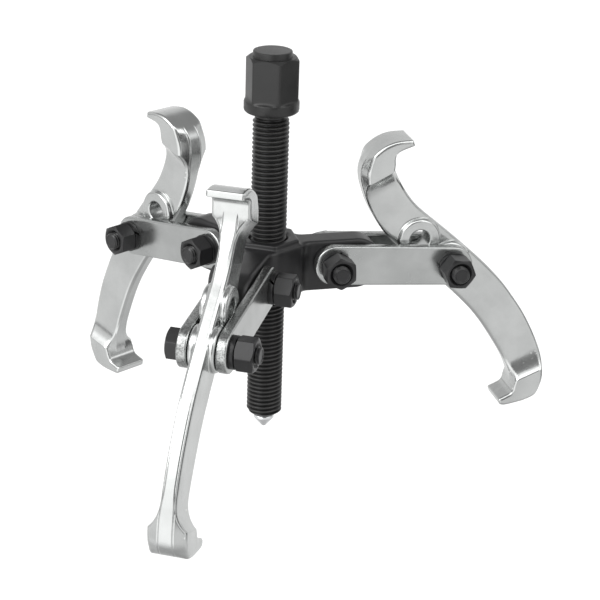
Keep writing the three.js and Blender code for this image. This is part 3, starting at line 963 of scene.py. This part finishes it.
I4 = Matrix.Identity(4)
place("yoke_forging", yoke, I4, "yoke", "yoke")
place("forcing_screw_threaded", screw, I4, "forcing_screw", "forcing_screw")
place("centre_point_turned", point, I4, "centre_point", "centre_point")
for arm in ARMS:
    n = arm["name"]
    base = arm_frame(arm)
    link = base @ shift(HUB_BOLT_R, 0) @ turn(-arm["link"])
    jx = HUB_BOLT_R + STRAP_PITCH * math.cos(rad(arm["link"]))
    jy = -STRAP_PITCH * math.sin(rad(arm["link"]))
    near, far = (GAP_HALF, -GAP_HALF - STRAP_T) if arm["side"] > 0 else (-GAP_HALF - STRAP_T, GAP_HALF)
    place(f"{n}_strap_nut_side_plate", strap, link @ shift(0, 0, near), f"{n}_link", f"{n}_strap_nut_side")
    place(f"{n}_strap_head_side_plate", strap, link @ shift(0, 0, far), f"{n}_link", f"{n}_strap_head_side")
    facing = I4 if arm["side"] > 0 else turn(180, "X")
    for key, x, y in (("hub", HUB_BOLT_R, 0.0), ("jaw", jx, jy)):
        hexes = arm[f"{key}_hex"]
        at = base @ shift(x, y)
        place(f"{n}_{key}_bolt_m8", bolt, at @ turn(hexes[1]) @ facing, f"{n}_link", f"{n}_{key}_bolt")
        place(f"{n}_{key}_washer_split", washer, at @ turn(hexes[0] + 40 * (1 if key == "hub" else 3)) @ facing, f"{n}_link", f"{n}_{key}_washer")
        place(f"{n}_{key}_nut_m8", nut, at @ turn(hexes[0]) @ facing, f"{n}_link", f"{n}_{key}_nut")
    place(f"{n}_jaw_forging", jaw, base @ shift(jx, jy) @ turn(-arm["jaw"]), f"{n}_jaw", f"{n}_jaw")

# ------------------------------------------------------------------ stage
FLOOR_Z = -0.062


def seen_only(o):
    """Shown to the camera, and neither lit on nor mirrored in the object."""
    o.visible_diffuse = o.visible_glossy = o.visible_transmission = o.visible_shadow = False


def plain(name, base, glow):
    m = bpy.data.materials.new(name)
    m.use_nodes = True
    b = m.node_tree.nodes["Principled BSDF"]
    b.inputs["Base Color"].default_value = (base, base, base, 1)
    b.inputs["Roughness"].default_value = 0.9
    b.inputs["Specular IOR Level"].default_value = 0.0
    b.inputs["Emission Color"].default_value = (1, 1, 1, 1)
    b.inputs["Emission Strength"].default_value = glow
    return m


bm = bmesh.new()
bmesh.ops.create_circle(bm, cap_ends=True, segments=96, radius=2.9)
me = bpy.data.meshes.new("floor")
bm.to_mesh(me)
bm.free()
me.materials.append(plain("floor", 0.25, 0.86))
floor = bpy.data.objects.new("floor", me)
floor.location = (0, 0, FLOOR_Z)
bpy.context.scene.collection.objects.link(floor)

bm = bmesh.new()
bmesh.ops.create_uvsphere(bm, u_segments=64, v_segments=40, radius=3.0)
bmesh.ops.reverse_faces(bm, faces=bm.faces)
dm = bpy.data.meshes.new("backdrop")
bm.to_mesh(dm)
bm.free()
dm.shade_smooth()
dm.materials.append(plain("backdrop", 0.0, 1.0))
dome = bpy.data.objects.new("backdrop", dm)
bpy.context.scene.collection.objects.link(dome)
for o in (floor, dome):
    seen_only(o)


class WorldNodes(Nodes):
    def __init__(self, name):
        self.m = bpy.data.worlds.new(name)
        self.m.use_nodes = True
        self.t = self.m.node_tree
        self.bsdf = self.t.nodes["Background"]
        self.x = 0

    def along(self, vec, x, y, z):
        n = self.add("ShaderNodeVectorMath", operation="DOT_PRODUCT")
        self.link(vec, n.inputs[0])
        n.inputs[1].default_value = (x, y, z)
        return n.outputs["Value"]

    def half(self, v):
        """-1..1 to 0..1"""
        h = self.math("MULTIPLY_ADD", v, 0.5)
        h.node.inputs[2].default_value = 0.5
        return h


def studio(front_deg=15.1, strength=2.6):
    """A white table, a broad soft screen above the front, a white sweep behind, and dark gaps between them."""
    k = WorldNodes("studio")
    c, s_ = math.cos(rad(front_deg)), math.sin(rad(front_deg))
    d = k.add("ShaderNodeTexCoord").outputs["Generated"]
    right = k.half(k.along(d, c, s_, 0))
    away = k.half(k.along(d, -s_, c, 0))
    up = k.half(k.along(d, 0, 0, 1))

    def at(*stops):
        return [(0.5 + 0.5 * z, v / strength) for z, v in stops]

    shade = k.ramp(up, at((-1, 0.50), (-0.62, 0.95), (-0.14, 1.0), (-0.04, 0.22), (0.70, 0.22), (0.79, 2.6), (0.91, 2.6), (0.97, 0.12)))
    pale = k.ramp(up, at((-1, 0.50), (-0.62, 0.95), (-0.14, 1.05), (0.05, 0.95), (0.40, 1.1), (0.56, 2.6), (0.91, 2.6), (0.97, 0.12)))
    fr = k.mix(k.ramp(right, [(0.42, 0.0), (0.47, 1.0), (0.72, 1.0), (0.79, 0.0)]), pale, shade)
    near = k.ramp(up, at((-0.85, 0.55), (-0.58, 1.75), (-0.10, 1.75), (0.10, 1.6), (0.40, 1.9), (0.54, 2.6), (0.91, 2.6), (0.97, 0.12)))
    middle = k.ramp(right, [(0.09, 0.0), (0.17, 1.0), (0.37, 1.0), (0.46, 0.0)])
    fr = k.mix(middle, fr, near)
    bk = k.ramp(up, at((-1, 0.50), (-0.62, 0.95), (0.05, 1.0), (0.22, 0.85), (0.50, 0.85), (0.64, 0.35), (0.97, 0.30), (1, 0.12)))
    col = k.mix(k.ramp(away, [(0.40, 0.0), (0.58, 1.0)]), fr, bk)
    # dark gaps at both sides, from the edge of the table up to the screens
    flank_r = k.ramp(right, [(0.74, 0.0), (0.86, 1.0)])
    flank_l = k.ramp(right, [(0.10, 1.0), (0.20, 0.0)])
    gap_r = k.ramp(up, [(0.22, 0.0), (0.30, 1.0), (0.63, 1.0), (0.70, 0.0)])
    gap_l = k.ramp(up, [(0.485, 0.0), (0.505, 0.8), (0.545, 0.8), (0.57, 0.0)])
    behind = k.ramp(away, [(0.40, 0.0), (0.46, 1.0), (0.61, 1.0), (0.69, 0.0)])
    dark = k.math("MAXIMUM", k.math("MULTIPLY", k.math("MULTIPLY", flank_r, behind), gap_r), k.math("MULTIPLY", flank_l, gap_l))
    col = k.mix(dark, col, tuple([0.12 / strength] * 3))
    k.link(col, k.bsdf.inputs[0])
    k.bsdf.inputs[1].default_value = strength
    return k.m


bpy.context.scene.world = studio()


def area(name, loc, target, sx, sy, power):
    L = bpy.data.lights.new(name, "AREA")
    L.shape = "RECTANGLE"
    L.size, L.size_y = sx, sy
    L.energy = power
    o = bpy.data.objects.new(name, L)
    o.location = loc
    o.rotation_euler = (Vector(target) - Vector(loc)).to_track_quat("-Z", "Y").to_euler()
    bpy.context.scene.collection.objects.link(o)
    return o


area("key", (-1.1, -1.1, 1.3), (0, 0, 0.08), 0.9, 0.9, 10)

# ------------------------------------------------------------------ camera
yaw, pitch, roll = 0.001066, 0.402201, 0.033465
spin = Matrix.Rotation(rad(15.1), 4, "Z")
fwd = Vector((math.sin(yaw) * math.cos(pitch), math.cos(yaw) * math.cos(pitch), -math.sin(pitch)))
right0 = Vector((math.cos(yaw), -math.sin(yaw), 0))
up0 = right0.cross(fwd)
right = math.cos(roll) * right0 + math.sin(roll) * up0
up = -math.sin(roll) * right0 + math.cos(roll) * up0
cam_data = bpy.data.cameras.new("camera")
cam_data.sensor_width = 36.0
cam_data.lens = 36.0 * 1722.489557 / 600.0
cam_data.clip_start, cam_data.clip_end = 0.02, 20
cam = bpy.data.objects.new("camera", cam_data)
bpy.context.scene.collection.objects.link(cam)
m = Matrix.Identity(4)
for i in range(3):
    m[i][0], m[i][1], m[i][2] = right[i], up[i], -fwd[i]
m = spin @ m
where = spin @ Vector((14.117903, -706.945135, 282.838222)) + Vector((0, 0, HUB_Z))
for i in range(3):
    m[i][3] = where[i] * MM
cam.matrix_world = m
bpy.context.scene.camera = cam
bpy.context.scene.view_settings.view_transform = "Standard"

bpy.context.view_layer.update()
